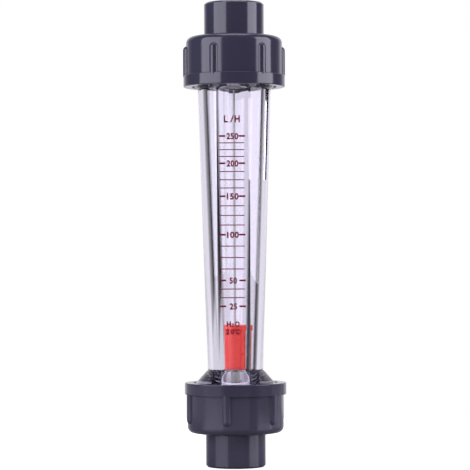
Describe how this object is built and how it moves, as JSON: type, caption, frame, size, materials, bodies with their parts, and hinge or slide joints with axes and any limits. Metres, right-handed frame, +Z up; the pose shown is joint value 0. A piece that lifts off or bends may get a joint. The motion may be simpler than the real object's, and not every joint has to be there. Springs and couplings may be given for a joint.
{
  "type": "rotameter",
  "caption": "In-line flow meter: a clear tapered tube with a printed scale, a float on a guide rod, and a ribbed union nut with a plain pipe socket at each end.",
  "frame": {"origin": "centre of the lower socket's mouth, where the part stands", "axes": "+Z up along the tube from the lower socket to the upper one, the printed scale faces -Y"},
  "size_m": [0.0476, 0.0476, 0.2172],
  "materials": {
    "clear_plastic": "clear, glossy",
    "grey_plastic": "satin, dark blue-grey",
    "red_plastic": "glossy",
    "scale_print": "printed ink",
    "steel": "drawn",
    "inner_plastic": "white, satin",
    "seal_rubber": "matt"
  },
  "bodies": {
    "meter_body": {"tube_body": "clear_plastic", "scale_marks": "scale_print", "guide_rod": "steel", "lower_rod_holder": "inner_plastic", "upper_rod_holder": "inner_plastic", "lower_rod_nut": "steel", "upper_rod_nut": "steel", "lower_stop_sleeve": "steel", "upper_stop_bush": "inner_plastic", "lower_buffer_washer": "seal_rubber", "upper_buffer_washer": "seal_rubber", "lower_o_ring": "seal_rubber", "upper_o_ring": "seal_rubber"},
    "float": {"float_body": "red_plastic"},
    "lower_tail": {"lower_end_socket": "grey_plastic"},
    "lower_nut": {"lower_union_nut": "grey_plastic"},
    "upper_tail": {"upper_end_socket": "grey_plastic"},
    "upper_nut": {"upper_union_nut": "grey_plastic"}
  },
  "joints": [
    {"name": "float_rise", "type": "slide", "parent": "meter_body", "child": "float", "axis": [0, 0, 1], "range_m": [0, 0.11]},
    {"name": "lower_tail_lift", "type": "slide", "parent": "meter_body", "child": "lower_tail", "axis": [0, 0, -1], "range_m": [0, 0.0127]},
    {"name": "lower_nut_turn", "type": "hinge", "parent": "lower_tail", "child": "lower_nut", "pos_m": [0, 0, 0.0273], "axis": [0, 0, -1], "range_deg": [0, 1980]},
    {"name": "upper_tail_lift", "type": "slide", "parent": "meter_body", "child": "upper_tail", "axis": [0, 0, 1], "range_m": [0, 0.0127]},
    {"name": "upper_nut_turn", "type": "hinge", "parent": "upper_tail", "child": "upper_nut", "pos_m": [0, 0, 0.1899], "axis": [0, 0, 1], "range_deg": [0, 1980]}
  ],
  "couplings": [
    {"joint": "lower_tail_lift", "follows": "lower_nut_turn", "m_per_rad": 0.00036749},
    {"joint": "upper_tail_lift", "follows": "upper_nut_turn", "m_per_rad": 0.00036749}
  ]
}
